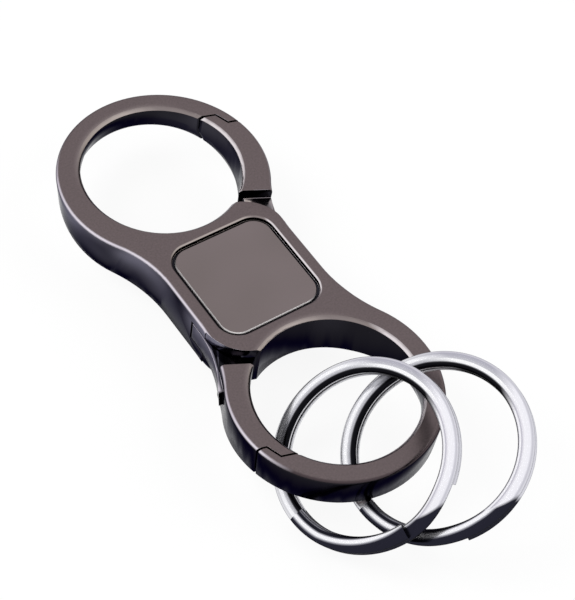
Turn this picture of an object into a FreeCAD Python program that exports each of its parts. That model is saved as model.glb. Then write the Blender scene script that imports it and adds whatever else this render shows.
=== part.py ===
"""Key organiser: a double-ended snap clip of die-cast zinc with a sprung gate on each loop,
an inlaid front plate and two split rings for keys.

Millimetres, +Z up. The origin is the centre of the flat back face of the waist. +Y runs
towards the upper loop and +X towards the side that the upper gate closes. The lower loop is
the upper one turned half a turn about Z, with a slightly narrower and thicker band, so the
gates' cuts, pins and springs are made once, for the upper loop, and turned for the lower one.
"""
import FreeCAD, Part
import math
import os

V = FreeCAD.Vector
X_AXIS = V(1, 0, 0)
Y_AXIS = V(0, 1, 0)
Z_AXIS = V(0, 0, 1)

# Casting, in plan
HOLE_R = 12.5            # wall of each loop's hole
HOLE_Y = 23.7            # hole centre, from the middle of the casting
UPPER_R = 16.7           # outer edge of the upper loop
UPPER_Y = 22.9           # centre of that edge: the band is thinnest at the tip
UPPER_DRAFT = 0.7        # the loop's outer wall draws in by this at the back
LOWER_R = 16.1
LOWER_Y = 23.3
LOWER_DRAFT = 0.3
WAIST_HALF = 11.0        # half the width of the waist
WAIST_STRAIGHT = 4.0     # half the length of its straight side
# Casting, in height
THICK = 7.6              # waist
FLAT_Y = 12.0            # the back is flat up to here
UPPER_RISE = 2.9         # rise of the back at the upper tip
UPPER_BEND = 26.0        # where the rising back turns from hollow to round
LOWER_RISE = 1.8
LOWER_BEND = 17.0
HOLE_STRAIGHT = 1.2      # depth of the holes' straight wall; the tip side then opens to the back
HOLE_RELIEF = 2.2        # how far it opens by the back
FRONT_ROUND = 0.8        # outer front edge
HOLE_CHAMFER = 0.5       # front edge of the holes
# Front recess and what is glued in it
RECESS_X = 17.6
RECESS_Y = 18.3
RECESS_R = 3.4
RECESS_CHAMFER = 0.25
PLATE_GAP = 0.45         # all round the plate
PLATE_SUNK = 0.4         # plate below the front of the casting
PLATE_THICK = 0.4
PLATE_CHAMFER = 0.15
GLUE_THICK = 0.1
GLUE_MARGIN = 0.8
# Gates, upper loop
PIN_X = 9.0
PIN_Y = 4.2
PIN_R = 0.75
PIN_LOW = 0.05
PIN_TOP = 6.1            # the pin is blind, under the glued plate
PIN_PLAY = 0.05          # radial, between pin and gate
SLOT_LOW = 2.0           # slot in the casting for the gate's tongue
SLOT_HIGH = 5.9
SLOT_END = 1.9           # slot's end, from the pin
TONGUE_PLAY = 0.25       # above and below the tongue
TONGUE_SIDE = 0.1        # beside it
TONGUE_HALF = 1.9        # tongue's inner side, from the pin
TONGUE_END = 1.5         # tongue's end, from the pin
TONGUE_CORNER = 0.8
NECK_LOW_Y = PIN_Y + 1.3     # the tongue's inner side slants from here
NECK_HIGH = (9.0, 15.0)      # to here, inside the gate
ROOT_INNER = (7.0, 14.6)     # line of the gate's root face, run past both sides
ROOT_OUTER = (15.0, 10.6)
ROOM_RIGHT = 20.0            # past the gate's side of the casting
ROOM_LEFT = 5.0              # inside the hole
MESH = [(9.4, 6.47), (11.15, 5.95), (13.35, 5.3), (14.25, 3.0), (16.15, 2.5), (18.4, 1.9)]
GATE_SWING = 12.0        # degrees, inwards
SWING_SPARE = 1.5        # degrees more in the slot
GATE_PLAY = 0.32         # at the meshed tips
CORNER_R = 6.9           # round shoulder of the casting at the gate's root
CORNER_X = 4.0
CORNER_Y = 5.9
CORNER_TURN = 79.0       # degrees
# Gate springs
SPRING_Y = 9.4
SPRING_INNER_X = 2.0
SPRING_WIRE = 0.32
SPRING_R = 0.85          # middle of the wire
SPRING_COILS = 7
SPRING_SEAT = 0.02       # clear of the well's bottom
SPRING_SHORT = 0.12      # clear of the tongue's slanting side
SPRING_WELL_R = 1.2
# Split rings: two turns of half-hard wire, one on the other
RING_R = 14.15           # outer edge
WIRE_WIDE = 2.4
WIRE_HIGH = 1.08
WIRE_ROUND = 0.45
TURN_GAP = 0.04
STEP_ANGLE = 40.0        # where one turn climbs to the other
STEP_SECTIONS = 6
FIRST_CENTRE = V(-1.77, -33.6, 4.77)    # leans on the second ring, over the band and under it
FIRST_AXIS = V(-0.582, 0.030, 0.813)
FIRST_START = 300.0
SECOND_CENTRE = V(6.88, -38.69, 6.63)    # leans on the band
SECOND_AXIS = V(-0.497, 0.032, 0.867)
SECOND_START = 250.0
FAR = 60.0               # longer than the object, for cutters
MILL = 1.0               # how far cutters run past the face they open


def turned(shape, degrees=180.0):
    copy = shape.copy()
    copy.rotate(V(0, 0, 0), Z_AXIS, degrees)
    return copy


def swung(x, y, degrees):
    """A plan point after a swing about the upper gate's pin."""
    a = math.radians(degrees)
    dx, dy = x - PIN_X, y - PIN_Y
    return (PIN_X + dx * math.cos(a) - dy * math.sin(a), PIN_Y + dx * math.sin(a) + dy * math.cos(a))


def prism(points, low, high):
    """A straight-sided block over a plan outline of (x, y) points."""
    corners = [V(x, y, low) for x, y in points]
    wire = Part.makePolygon(corners + [corners[0]])
    return Part.Face(wire).extrude(V(0, 0, high - low))


def arc_edge(start, middle, end):
    return Part.Arc(start, middle, end).toShape()


def is_upright(edge):
    return abs(edge.tangentAt(edge.FirstParameter).z) > 0.99


def rounded_block(size_x, size_y, radius, low, high):
    block = Part.makeBox(size_x, size_y, high - low, V(-size_x / 2, -size_y / 2, low))
    return block.makeFillet(radius, [edge for edge in block.Edges if is_upright(edge)])


def hole_drill():
    """The upper hole's straight cutter."""
    return Part.makeCylinder(HOLE_R, THICK + 2 * MILL, V(0, HOLE_Y, -MILL))


def hole_relief():
    """A cone that opens the tip side of the upper hole towards the back and clears its waist side."""
    half = HOLE_RELIEF / 2
    start = V(0, HOLE_Y + half, -MILL)
    return Part.makeCone(HOLE_R + half, HOLE_R - half, THICK - HOLE_STRAIGHT + MILL, start)


def loop_edges(radius, centre_y, z):
    """The +Y half of an outline: a waist side, a hollow arc tangent to it, the loop, a hollow arc."""
    reach = centre_y - WAIST_STRAIGHT
    hollow_r = (WAIST_HALF**2 + reach**2 - radius**2) / (2 * (radius - WAIST_HALF))
    hollow_x = WAIST_HALF + hollow_r
    span = radius + hollow_r
    join = V(radius * hollow_x / span, centre_y - radius * reach / span, z)
    lean = math.atan2(reach, hollow_x) / 2
    middle = V(hollow_x - hollow_r * math.cos(lean), WAIST_STRAIGHT + hollow_r * math.sin(lean), z)
    side = V(WAIST_HALF, WAIST_STRAIGHT, z)
    return [
        Part.makeLine(V(WAIST_HALF, -WAIST_STRAIGHT, z), side),
        arc_edge(side, middle, join),
        arc_edge(join, V(0, centre_y + radius, z), V(-join.x, join.y, z)),
        arc_edge(V(-join.x, join.y, z), V(-middle.x, middle.y, z), V(-side.x, side.y, z)),
    ]


def casting_outline(upper_draft, lower_draft, z):
    """Closed outline of the clip, with the loops drawn in by their drafts."""
    upper = loop_edges(UPPER_R - upper_draft, UPPER_Y, z)
    lower = loop_edges(LOWER_R - lower_draft, LOWER_Y, z)
    return Part.Wire(upper + [turned(edge) for edge in lower])


def drafted_block():
    back = casting_outline(UPPER_DRAFT, LOWER_DRAFT, 0)
    front = casting_outline(0, 0, THICK)
    return Part.makeLoft([back, front], True, True)


def under_back(tip_y, rise, bend_y):
    """The space under the rising back of one half: two arcs, hollow then round, as for +Y."""
    slope = 2 * math.atan(rise / (tip_y - FLAT_Y))
    hollow_r = (bend_y - FLAT_Y) / math.sin(slope)
    round_r = (tip_y - bend_y) / math.sin(slope)

    def on_hollow(angle):
        return V(0, FLAT_Y + hollow_r * math.sin(angle), hollow_r * (1 - math.cos(angle)))

    def on_round(angle):
        return V(0, tip_y - round_r * math.sin(angle), rise - round_r * (1 - math.cos(angle)))

    start, bend, end = on_hollow(0), on_hollow(slope), on_round(0)
    beyond, below, under = V(0, FAR, rise), V(0, FAR, -THICK), V(0, FLAT_Y, -THICK)
    edges = [
        arc_edge(start, on_hollow(slope / 2), bend),
        arc_edge(bend, on_round(slope / 2), end),
        Part.makeLine(end, beyond),
        Part.makeLine(beyond, below),
        Part.makeLine(below, under),
        Part.makeLine(under, start),
    ]
    face = Part.Face(Part.Wire(edges))
    face.translate(V(-FAR, 0, 0))
    return face.extrude(V(2 * FAR, 0, 0))


def whole_casting():
    """The casting with its gates still part of it, before anything is cut."""
    body = drafted_block()
    front = [edge for edge in body.Edges if edge.BoundBox.ZMin > THICK / 2]
    body = body.makeFillet(FRONT_ROUND, front)
    body = body.cut([hole_drill(), turned(hole_drill())])
    rims = [edge for edge in body.Edges if edge.BoundBox.ZMin > THICK - 0.01
            and math.hypot(edge.Vertexes[0].X, abs(edge.Vertexes[0].Y) - HOLE_Y) < HOLE_R + 0.01]
    body = body.makeChamfer(HOLE_CHAMFER, rims)
    upper_back = under_back(UPPER_Y + UPPER_R, UPPER_RISE, UPPER_BEND)
    lower_back = under_back(LOWER_Y + LOWER_R, LOWER_RISE, LOWER_BEND)
    body = body.cut([hole_relief(), turned(hole_relief())])
    return body.cut([upper_back, turned(lower_back)]).removeSplitter()


def mesh_line(gap):
    """The meshing line, moved towards the casting by a gap."""
    shifted = []
    for i, (x, y) in enumerate(MESH):
        before = MESH[max(i - 1, 0)]
        after = MESH[min(i + 1, len(MESH) - 1)]
        dx, dy = after[0] - before[0], after[1] - before[1]
        length = math.hypot(dx, dy)
        shifted.append((x - gap * dy / length, HOLE_Y + y + gap * dx / length))
    return shifted


def gate_region():
    """Plan of the upper gate, wider than the band on both sides."""
    points = [ROOT_INNER, ROOT_OUTER, (ROOM_RIGHT, ROOT_OUTER[1]), (ROOM_RIGHT, HOLE_Y + MESH[-1][1])]
    points += list(reversed(mesh_line(0.0)))
    points += [(ROOM_LEFT, HOLE_Y)]
    return prism(points, -MILL, THICK + MILL)


def gate_clearance():
    """What the gate's side of the loop leaves open in the casting, down to the round shoulder."""

    def on_shoulder(degrees):
        angle = math.radians(degrees)
        return V(CORNER_X + CORNER_R * math.cos(angle), CORNER_Y + CORNER_R * math.sin(angle), -MILL)

    mesh = mesh_line(GATE_PLAY)
    line = [on_shoulder(CORNER_TURN), V(ROOM_LEFT, HOLE_Y, -MILL)] + [V(x, y, -MILL) for x, y in mesh]
    line += [V(ROOM_RIGHT, mesh[-1][1], -MILL), V(ROOM_RIGHT, CORNER_Y, -MILL), on_shoulder(0)]
    edges = [Part.makeLine(a, b) for a, b in zip(line, line[1:])]
    edges.append(arc_edge(on_shoulder(0), on_shoulder(CORNER_TURN / 2), on_shoulder(CORNER_TURN)))
    return Part.Face(Part.Wire(edges)).extrude(V(0, 0, THICK + 2 * MILL))


def tongue():
    """Tongue of the upper gate: round-cornered end at the pin, slanting neck up to the root."""
    left = PIN_X - TONGUE_HALF
    end = PIN_Y - TONGUE_END
    plan = [(left, end), (FAR, end), (FAR, ROOT_INNER[1]), NECK_HIGH, (left, NECK_LOW_Y)]
    block = prism(plan, SLOT_LOW + TONGUE_PLAY, SLOT_HIGH - TONGUE_PLAY)
    corner = [edge for edge in block.Edges if is_upright(edge)
              and abs(edge.Vertexes[0].X - left) < 0.01 and abs(edge.Vertexes[0].Y - end) < 0.01]
    return block.makeFillet(TONGUE_CORNER, corner)


def slot():
    """Room for the tongue from closed to open, open to the waist's side and to the hole."""
    left = PIN_X - TONGUE_HALF - TONGUE_SIDE
    end = PIN_Y - SLOT_END
    near = swung(left, NECK_LOW_Y, GATE_SWING + SWING_SPARE)
    far = swung(NECK_HIGH[0] - TONGUE_SIDE, NECK_HIGH[1], GATE_SWING + SWING_SPARE)
    return prism([(near[0], end), (FAR, end), (FAR, far[1]), far, near], SLOT_LOW, SLOT_HIGH)


def make_plate(low):
    size_x, size_y = RECESS_X - 2 * PLATE_GAP, RECESS_Y - 2 * PLATE_GAP
    high = low + PLATE_THICK
    plate = rounded_block(size_x, size_y, RECESS_R - PLATE_GAP, low, high)
    return plate.makeChamfer(PLATE_CHAMFER, [edge for edge in plate.Edges if edge.BoundBox.ZMin > high - 0.01])


def spring_z():
    return (SLOT_LOW + SLOT_HIGH) / 2


def spring_well():
    start = V(SPRING_INNER_X, SPRING_Y, spring_z())
    return Part.makeCylinder(SPRING_WELL_R, PIN_X - SPRING_INNER_X, start, X_AXIS)


def pin_solid(radius, low, high):
    return Part.makeCylinder(radius, high - low, V(PIN_X, PIN_Y, low))


def make_gate(loops):
    """Upper gate: its stretch of the loop, with a tongue that the pin passes through."""
    shank = tongue().common(drafted_block()).cut(hole_drill())
    gate = loops.common(gate_region()).fuse(shank).removeSplitter()
    return gate.cut(pin_solid(PIN_R + PIN_PLAY, 0, THICK))


def make_casting(whole, recess_floor):
    body = whole.cut(rounded_block(RECESS_X, RECESS_Y, RECESS_R, recess_floor, THICK + MILL))
    rim = [edge for edge in body.Edges if edge.BoundBox.ZMin > THICK - 0.01
           and abs(edge.CenterOfMass.x) < RECESS_X / 2 + 0.01
           and abs(edge.CenterOfMass.y) < RECESS_Y / 2 + 0.01]
    body = body.makeChamfer(RECESS_CHAMFER, rim)
    for cutter in (gate_clearance(), slot(), spring_well(), pin_solid(PIN_R, -MILL, PIN_TOP)):
        body = body.cut(cutter).cut(turned(cutter))
    return body


def make_spring():
    """Compression spring from the bottom of its well to the tongue's slanting side."""
    left = PIN_X - TONGUE_HALF
    share = (SPRING_Y - NECK_LOW_Y) / (NECK_HIGH[1] - NECK_LOW_Y)
    seat_x = left + share * (NECK_HIGH[0] - left) - SPRING_SHORT
    length = seat_x - SPRING_INNER_X - SPRING_WIRE
    helix = Part.makeHelix(length / SPRING_COILS, length, SPRING_R)
    profile = Part.Wire(Part.makeCircle(SPRING_WIRE / 2, V(SPRING_R, 0, 0), Y_AXIS))
    coil = Part.Wire(helix).makePipeShell([profile], True, True)
    coil.rotate(V(0, 0, 0), Y_AXIS, 90)
    coil.translate(V(SPRING_INNER_X + SPRING_WIRE / 2 + SPRING_SEAT, SPRING_Y, spring_z()))
    return coil


def wire_section(z, degrees):
    """One turn's section at an angle round the ring: flat, with four rounded corners."""
    block = Part.makePlane(WIRE_WIDE, WIRE_HIGH)
    block.rotate(V(0, 0, 0), X_AXIS, 90)
    block.translate(V(RING_R - WIRE_WIDE, 0, z - WIRE_HIGH / 2))
    section = block.makeOffset2D(-WIRE_ROUND).makeOffset2D(WIRE_ROUND)
    return turned(section.OuterWire, degrees)


def make_ring():
    """A split ring about Z: a lower turn, a short climb over the gap, and an upper turn."""
    half_rise = (WIRE_HIGH + TURN_GAP) / 2
    turn = 360.0 - STEP_ANGLE
    lower, upper = [Part.Face(wire_section(z, 0)).revolve(V(0, 0, 0), Z_AXIS, turn)
                    for z in (-half_rise, half_rise)]
    sections = []
    for i in range(STEP_SECTIONS + 1):
        share = i / STEP_SECTIONS
        z = -half_rise * math.cos(math.pi * share)
        sections.append(wire_section(z, turn + STEP_ANGLE * share))
    return lower.fuse([upper, Part.makeLoft(sections, True)]).removeSplitter()


def placed_ring(ring, centre, normal, start):
    """A ring leant so that its own axis lies along a direction, with its step turned round it."""
    place = FreeCAD.Placement(centre, FreeCAD.Rotation(Z_AXIS, normal))
    copy = turned(ring, start)
    copy.Placement = place.multiply(copy.Placement)
    return copy


os.makedirs("parts", exist_ok=True)
glue_low = THICK - PLATE_SUNK - PLATE_THICK - GLUE_THICK
glue_high = glue_low + GLUE_THICK
glue_in = 2 * (PLATE_GAP + GLUE_MARGIN)
whole = whole_casting()
pin = pin_solid(PIN_R, PIN_LOW, PIN_TOP)
spring = make_spring()
ring = make_ring()
pieces = {
    "clip_casting": make_casting(whole, glue_low),
    "front_plate": make_plate(glue_high),
    "plate_adhesive": rounded_block(
        RECESS_X - glue_in, RECESS_Y - glue_in, RECESS_R - GLUE_MARGIN, glue_low, glue_high),
    "upper_gate": make_gate(whole),
    "lower_gate": turned(make_gate(turned(whole))),
    "upper_gate_pin": pin,
    "lower_gate_pin": turned(pin),
    "upper_gate_spring": spring,
    "lower_gate_spring": turned(spring),
    "first_split_ring": placed_ring(ring, FIRST_CENTRE, FIRST_AXIS, FIRST_START),
    "second_split_ring": placed_ring(ring, SECOND_CENTRE, SECOND_AXIS, SECOND_START),
}
for name, shape in pieces.items():
    shape.exportStep("parts/" + name + ".step")
    box = shape.BoundBox
    print(f"{name}: {len(shape.Solids)} solid, {shape.Volume:.1f} mm3, valid {shape.isValid()}, "
          f"x {box.XMin:.2f}..{box.XMax:.2f}, y {box.YMin:.2f}..{box.YMax:.2f}, z {box.ZMin:.2f}..{box.ZMax:.2f}")
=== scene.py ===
# %% [markdown]
# # A key organiser: a snap clip with two sprung loops and two split rings
# The object is a die-cast zinc clip, about 79 mm long, with a gate on each loop and an inlaid
# plate in its waist. Two nickel-plated split rings hang in the lower loop.
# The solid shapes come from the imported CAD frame. This lesson gives them their finishes, breaks
# their sharp edges, makes the rings again with Geometry Nodes, and sets up light and camera.

import math

import bmesh
import bpy
from mathutils import Matrix, Vector


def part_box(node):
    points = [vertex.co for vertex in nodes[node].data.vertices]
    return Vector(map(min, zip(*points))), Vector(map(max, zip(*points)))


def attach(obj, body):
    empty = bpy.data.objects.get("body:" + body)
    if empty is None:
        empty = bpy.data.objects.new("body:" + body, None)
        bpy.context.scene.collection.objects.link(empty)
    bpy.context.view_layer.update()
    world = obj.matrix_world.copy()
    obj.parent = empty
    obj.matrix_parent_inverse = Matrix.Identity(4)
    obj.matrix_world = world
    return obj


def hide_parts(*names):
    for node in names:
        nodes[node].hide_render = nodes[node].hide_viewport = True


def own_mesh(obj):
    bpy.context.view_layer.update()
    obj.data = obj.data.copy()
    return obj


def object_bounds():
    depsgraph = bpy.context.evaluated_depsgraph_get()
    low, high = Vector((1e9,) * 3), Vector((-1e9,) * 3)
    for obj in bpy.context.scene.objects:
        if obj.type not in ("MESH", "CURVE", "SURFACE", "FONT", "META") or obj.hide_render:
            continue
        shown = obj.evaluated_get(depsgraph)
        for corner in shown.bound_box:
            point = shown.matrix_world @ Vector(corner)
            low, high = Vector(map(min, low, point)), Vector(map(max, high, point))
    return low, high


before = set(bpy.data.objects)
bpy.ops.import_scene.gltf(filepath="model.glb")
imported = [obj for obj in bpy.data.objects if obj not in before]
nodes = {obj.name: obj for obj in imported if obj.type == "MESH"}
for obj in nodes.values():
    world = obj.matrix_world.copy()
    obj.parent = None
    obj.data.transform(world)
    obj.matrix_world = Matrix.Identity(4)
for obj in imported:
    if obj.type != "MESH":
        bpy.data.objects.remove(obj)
cad_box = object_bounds()
print("nodes:", sorted(nodes))
print("CAD box:", cad_box)

# %% [markdown]
# ## Units, colours and nodes
# Blender works in metres and the sizes of the object are in millimetres, so one constant turns
# them. Colours are written as sRGB hex values, as a paint card or a screen gives them, and the
# shaders want linear light, so one function converts them all. Materials and Geometry Nodes are
# both trees of nodes. They could be built with a function for each kind of node, but one that
# adds any node with its settings and links is less to learn.

# %% Helpers for sizes, colours and nodes
MM = 0.001


def colour(hex_code):
    """An sRGB hex value as linear RGBA."""
    channels = [int(hex_code[i:i + 2], 16) / 255 for i in (1, 3, 5)]
    linear = [c / 12.92 if c <= 0.04045 else ((c + 0.055) / 1.055) ** 2.4 for c in channels]
    return (*linear, 1.0)


def add(tree, kind, settings=(), links=()):
    """Adds a node, sets its properties or inputs by name, and links inputs to other sockets."""
    node = tree.nodes.new(kind)
    for name, value in dict(settings).items():
        if isinstance(name, str) and hasattr(node, name):
            setattr(node, name, value)
        else:
            node.inputs[name].default_value = value
    for name, socket in dict(links).items():
        tree.links.new(socket, node.inputs[name])
    return node


def set_stops(ramp, stops):
    """Gives a colour ramp its stops, each a share of the way and an sRGB colour."""
    for i, (share, shade) in enumerate(stops):
        stop = ramp.color_ramp.elements[i] if i < 2 else ramp.color_ramp.elements.new(share)
        stop.position = share
        stop.color = colour(shade)


print("gunmetal in linear light:", [round(c, 3) for c in colour("#6b6062")])

# %% [markdown]
# ## A finish to start from
# Nearly every surface here is metal, and a metal is a Principled BSDF with metallic at or near 1.
# What changes is its colour, how rough it is and what small marks it carries. Each finish could
# set up its own shader, but the helper below makes the material, its shader, its output and its
# coordinates, so that the cells that follow hold only what a finish is about.

# %% Start a finish


def start_finish(name, roughness, metallic=1.0):
    """An empty material: itself, its tree, its shader and its coordinates."""
    material = bpy.data.materials.new(name)
    material.use_nodes = True
    tree = material.node_tree
    tree.nodes.clear()
    shader = add(tree, "ShaderNodeBsdfPrincipled", {"Metallic": metallic, "Roughness": roughness})
    add(tree, "ShaderNodeOutputMaterial", links={"Surface": shader.outputs["BSDF"]})
    place = add(tree, "ShaderNodeTexCoord")
    return material, tree, shader, place


print("finishes read Object coordinates, in metres")

# %% [markdown]
# ## Where the clip was finished
# The clip and its gates are zinc, cast in a die, polished, and plated with black nickel. The front and
# the back are then blasted fine, which leaves them a satin brown-grey. The walls stay as plated, a dark
# mirror with a blue cast and painted reflections, and the edges between carry painted highlights. Each
# zone could be a material of its own on picked faces, but then every seam would be a hard line. Masks
# blend instead. They come from the way the surface faces, its height, and how far it is from a hole's
# rim or the recess, with the clip folded along both its axes so that one hole and a quarter of the
# recess stand for all.

# %% The face and the painted edge
HOLE_Y = 23.7  # mm from the clip's middle to the centre of each hole
RIM_REACH = 13.0  # mm from a hole's centre to its rim, past the rounding
RECESS_HALF_X = 8.4  # mm
RECESS_HALF_Y = 8.75  # mm
FRONT_FROM = (7.1, 7.2)  # mm, the heights over which the front face begins
BACK_FROM = (4.5, 4.0)  # mm, and the back, which is higher at the tips
EDGE_FROM = (5.2, 5.4)  # mm, and the edges with painted highlights


def face_and_edge(tree, slope, height):
    """Masks for the satin faces and for the edge that carries painted highlights, from the normal's Z
    and the point's Z.
    """
    front = add(tree, "ShaderNodeMapRange", {"From Min": 0.7, "From Max": 0.88}, {"Value": slope})
    top = add(tree, "ShaderNodeMapRange",
              {"From Min": FRONT_FROM[0] * MM, "From Max": FRONT_FROM[1] * MM}, {"Value": height})
    back = add(tree, "ShaderNodeMapRange", {"From Min": -0.88, "From Max": -0.97}, {"Value": slope})
    low = add(tree, "ShaderNodeMapRange",
              {"From Min": BACK_FROM[0] * MM, "From Max": BACK_FROM[1] * MM}, {"Value": height})
    front_face = add(tree, "ShaderNodeMath", {"operation": "MULTIPLY"},
                     {0: front.outputs["Result"], 1: top.outputs["Result"]})
    back_face = add(tree, "ShaderNodeMath", {"operation": "MULTIPLY"},
                    {0: back.outputs["Result"], 1: low.outputs["Result"]})
    face = add(tree, "ShaderNodeMath", {"operation": "MAXIMUM"},
               {0: front_face.outputs["Value"], 1: back_face.outputs["Value"]})

    rise = add(tree, "ShaderNodeMapRange", {"From Min": 0.3, "From Max": 0.6}, {"Value": slope})
    # The recess's level floor is left as plated.
    tilted = add(tree, "ShaderNodeMapRange", {"From Min": 0.995, "From Max": 0.97},
                 {"Value": slope})
    high = add(tree, "ShaderNodeMapRange",
               {"From Min": EDGE_FROM[0] * MM, "From Max": EDGE_FROM[1] * MM}, {"Value": height})
    leaning = add(tree, "ShaderNodeMath", {"operation": "MULTIPLY"},
                  {0: rise.outputs["Result"], 1: tilted.outputs["Result"]})
    edge = add(tree, "ShaderNodeMath", {"operation": "MULTIPLY"},
               {0: leaning.outputs["Value"], 1: high.outputs["Result"]})
    return face.outputs["Value"], edge.outputs["Value"]


print("faces lie above", FRONT_FROM[1], "mm in front and below", BACK_FROM[1], "mm behind")

# %% [markdown]
# The rims of the holes and of the recess get painted highlights apart from the outer edge. A painted
# sheen also lies a little way onto the face, on the +Y side of each hole.

# %% The rims and the painted sheen


def rim_and_sheen(tree, place, spot):
    """Masks for the rims of the holes and the recess, and for the painted sheen on the face by them."""
    folded = add(tree, "ShaderNodeVectorMath", {"operation": "ABSOLUTE"},
                 {0: place.outputs["Object"]})
    plan = add(tree, "ShaderNodeVectorMath", {"operation": "MULTIPLY", 1: (1, 1, 0)},
               {0: folded.outputs["Vector"]})
    reach = add(tree, "ShaderNodeVectorMath", {"operation": "DISTANCE", 1: (0, HOLE_Y * MM, 0)},
                {0: plan.outputs["Vector"]})
    past_rim = add(tree, "ShaderNodeMath", {"operation": "SUBTRACT", 1: RIM_REACH * MM},
                   {0: reach.outputs["Value"]})
    corner = (RECESS_HALF_X * MM, RECESS_HALF_Y * MM, 0)
    beside = add(tree, "ShaderNodeVectorMath", {"operation": "SUBTRACT", 1: corner},
                 {0: plan.outputs["Vector"]})
    beside_xy = add(tree, "ShaderNodeSeparateXYZ", links={"Vector": beside.outputs["Vector"]})
    past_recess = add(tree, "ShaderNodeMath", {"operation": "MAXIMUM"},
                      {0: beside_xy.outputs["X"], 1: beside_xy.outputs["Y"]})
    nearest = add(tree, "ShaderNodeMath", {"operation": "MINIMUM"},
                  {0: past_rim.outputs["Value"], 1: past_recess.outputs["Value"]})
    rim = add(tree, "ShaderNodeMapRange", {"From Min": 1.8 * MM, "From Max": 1.5 * MM},
              {"Value": nearest.outputs["Value"]})

    # How far a point is towards +Y from its own hole's centre, with a slant of 0.35 in X.
    side = add(tree, "ShaderNodeMath", {"operation": "SIGN"}, {0: spot.outputs["Y"]})
    centre = add(tree, "ShaderNodeMath", {"operation": "MULTIPLY", 1: HOLE_Y * MM},
                 {0: side.outputs["Value"]})
    from_y = add(tree, "ShaderNodeMath", {"operation": "SUBTRACT"},
                 {0: spot.outputs["Y"], 1: centre.outputs["Value"]})
    from_x = add(tree, "ShaderNodeMath", {"operation": "MULTIPLY", 1: 0.35},
                 {0: spot.outputs["X"]})
    toward = add(tree, "ShaderNodeMath", {"operation": "SUBTRACT"},
                 {0: from_y.outputs["Value"], 1: from_x.outputs["Value"]})
    near_side = add(tree, "ShaderNodeMapRange", {"From Min": 5.5 * MM, "From Max": 11.5 * MM},
                    {"Value": toward.outputs["Value"]})
    # The painted sheen fades out within 0.9 mm of the rim.
    near_rim = add(tree, "ShaderNodeMapRange", {"interpolation_type": "SMOOTHERSTEP",
                                                "From Min": 0.9 * MM, "From Max": -0.9 * MM},
                   {"Value": past_rim.outputs["Value"]})
    rim_sheen = add(tree, "ShaderNodeMath", {"operation": "MULTIPLY"},
                  {0: near_side.outputs["Result"], 1: near_rim.outputs["Result"]})
    return rim.outputs["Result"], rim_sheen.outputs["Value"]


print("rims are measured from holes", HOLE_Y, "mm out and", RIM_REACH, "mm in radius")

# %% [markdown]
# ## Black-nickel plated zinc
# The finish itself is a stack of three, each shown through a mask. At the bottom are the plated walls,
# almost black, with painted reflections as slate clouds high on the side that faces -X. Noise about as
# large as the clouds draws them, and a mask keeps them in their place.

# %% The plated walls and their painted reflections


def walls_and_reflections(tree, place, spot, lit_facing, rim):
    """The walls' colour, with painted reflections as clouds. The facing given is 1 on a wall that faces
    the lit side, -X, and -1 away.
    """
    clouds = add(tree, "ShaderNodeTexNoise", {"Scale": 110.0, "Detail": 1.0, "Roughness": 0.4},
                 {"Vector": place.outputs["Object"]})  # about 9 mm across
    cloudy = add(tree, "ShaderNodeMapRange", {"From Min": 0.3, "From Max": 0.6},
                 {"Value": clouds.outputs["Fac"]})
    # One more painted reflection cloud lies by the lower gate's slot.
    slot_place = (-11 * MM, -7 * MM, 4 * MM)
    by_slot = add(tree, "ShaderNodeVectorMath", {"operation": "DISTANCE", 1: slot_place},
                  {0: place.outputs["Object"]})
    slot_cloud = add(tree, "ShaderNodeMapRange", {"From Min": 8 * MM, "From Max": 4 * MM},
                     {"Value": by_slot.outputs["Value"]})
    all_clouds = add(tree, "ShaderNodeMath", {"operation": "MAXIMUM"},
                     {0: cloudy.outputs["Result"], 1: slot_cloud.outputs["Result"]})
    # They fade towards the back, and the lower loop has none.
    up = add(tree, "ShaderNodeMapRange", {"From Min": 1.0 * MM, "From Max": 6.0 * MM},
             {"Value": spot.outputs["Z"]})
    above_loop = add(tree, "ShaderNodeMapRange", {"From Min": -15 * MM, "From Max": -11 * MM},
                     {"Value": spot.outputs["Y"]})
    height = add(tree, "ShaderNodeMath", {"operation": "MULTIPLY"},
                 {0: up.outputs["Result"], 1: above_loop.outputs["Result"]})
    lit_wall = add(tree, "ShaderNodeMapRange", {"From Min": 0.5, "From Max": 0.95},
                     {"Value": lit_facing})
    open_wall = add(tree, "ShaderNodeMapRange", {"To Min": 1.0, "To Max": 0.15}, {"Value": rim})
    side = add(tree, "ShaderNodeMath", {"operation": "MULTIPLY"},
               {0: lit_wall.outputs["Result"], 1: open_wall.outputs["Result"]})
    # The painted reflection clouds show high on walls that face -X, and less on the rims.
    cloud_up = add(tree, "ShaderNodeMath", {"operation": "MULTIPLY"},
                   {0: all_clouds.outputs["Value"], 1: height.outputs["Value"]})
    cloud_reflection = add(tree, "ShaderNodeMath", {"operation": "MULTIPLY"},
                {0: cloud_up.outputs["Value"], 1: side.outputs["Value"]})
    wall = add(tree, "ShaderNodeMix",
               {"data_type": "RGBA", "A": colour("#1e1d22"), "B": colour("#72707e")},
               {"Factor": cloud_reflection.outputs["Value"]})
    return wall.outputs["Result"]


print("clouds of about", round(1 / 110.0 / MM, 1), "mm")
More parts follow.
